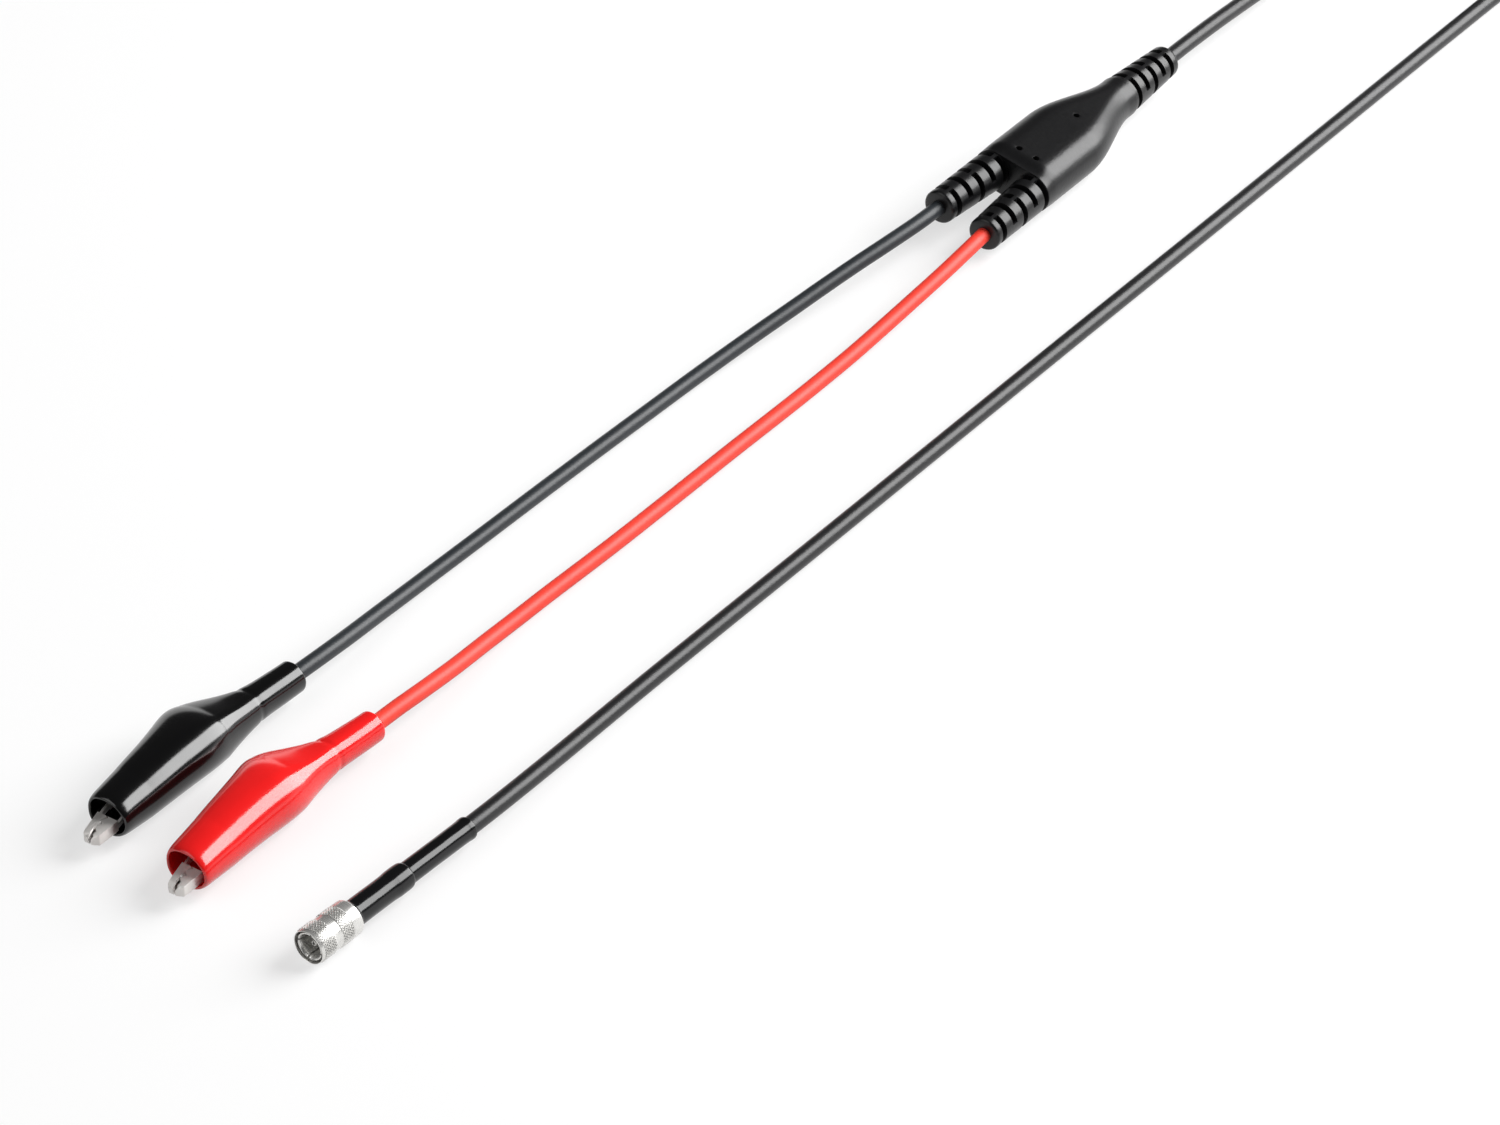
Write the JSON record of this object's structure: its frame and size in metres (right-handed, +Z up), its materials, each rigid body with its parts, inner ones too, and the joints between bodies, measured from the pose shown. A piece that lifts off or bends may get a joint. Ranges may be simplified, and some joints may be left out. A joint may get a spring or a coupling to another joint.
{
  "type": "coaxial to clip test lead",
  "caption": "Two-wire input lead: push-on coaxial plug, coiled coax cable, moulded Y-junction, and a black and a red lead ending in booted alligator clips.",
  "frame": {"origin": "centre of the footprint of the clips, plug and junction on the resting surface", "axes": "+X along the lead from the clips towards the storage coil, +Y from the plug towards the black clip, +Z up"},
  "size_m": [0.4089, 0.0603, 0.0109],
  "materials": {
    "nickel_plug": "satin nickel plate on turned brass",
    "spring_steel": "bright spring wire",
    "nickel_jaws": "bright nickel plate on sheet steel",
    "copper": "tinned copper strands, braid and crimps",
    "ptfe": "white PTFE",
    "heat_shrink": "glossy black polyolefin",
    "junction_rubber": "satin black moulded rubber",
    "inner_mould": "black pre-mould",
    "boot_black": "glossy black vinyl",
    "boot_red": "glossy red vinyl",
    "coax_jacket": "satin dark grey PVC",
    "lead_black": "satin slate black silicone",
    "lead_red": "matte orange-red silicone",
    "tie_strap": "black strap"
  },
  "bodies": {
    "lead": {"plug_body": "nickel_plug", "plug_insulator": "ptfe", "centre_contact": "nickel_plug", "sleeve_spring": "spring_steel", "retaining_ring": "spring_steel", "crimp_ferrule": "nickel_plug", "plug_braid": "copper", "plug_dielectric": "ptfe", "plug_core": "copper", "front_heat_shrink": "heat_shrink", "rear_heat_shrink": "heat_shrink", "junction_overmould": "junction_rubber", "junction_inner_mould": "inner_mould", "ground_splice": "copper", "signal_splice": "copper", "ground_strands": "copper", "signal_strands": "copper", "braid_pigtail": "copper", "junction_dielectric": "ptfe", "signal_core": "copper", "black_fixed_jaw": "nickel_jaws", "black_hinge_pin": "nickel_jaws", "black_jaw_spring": "spring_steel", "black_boot": "boot_black", "black_clip_strands": "copper", "red_fixed_jaw": "nickel_jaws", "red_hinge_pin": "nickel_jaws", "red_jaw_spring": "spring_steel", "red_boot": "boot_red", "red_clip_strands": "copper", "coax_run": "coax_jacket", "coax_coil": "coax_jacket", "coax_tail": "coax_jacket", "coil_tie": "tie_strap", "black_lead": "lead_black", "red_lead": "lead_red"},
    "sleeve": {"coupling_sleeve": "nickel_plug"},
    "black_jaw": {"black_moving_jaw": "nickel_jaws"},
    "red_jaw": {"red_moving_jaw": "nickel_jaws"}
  },
  "joints": [
    {"name": "sleeve_slide", "type": "slide", "parent": "lead", "child": "sleeve", "axis": [0.9987, -0.0506, 0], "range_m": [0, 0.0012], "stiffness_N_per_m": 200, "deforming": ["sleeve_spring"]},
    {"name": "black_jaw_hinge", "type": "hinge", "parent": "lead", "child": "black_jaw", "pos_m": [-0.13018, 0.02015, 0.00372], "axis": [0.0279, -0.0005, -0.9996], "range_deg": [0, 18], "stiffness_Nm_per_rad": 0.004, "deforming": ["black_jaw_spring", "black_boot"]},
    {"name": "red_jaw_hinge", "type": "hinge", "parent": "lead", "child": "red_jaw", "pos_m": [-0.13238, 0.00179, 0.00372], "axis": [0.0279, -0.0006, -0.9996], "range_deg": [0, 18], "stiffness_Nm_per_rad": 0.004, "deforming": ["red_jaw_spring", "red_boot"]}
  ]
}
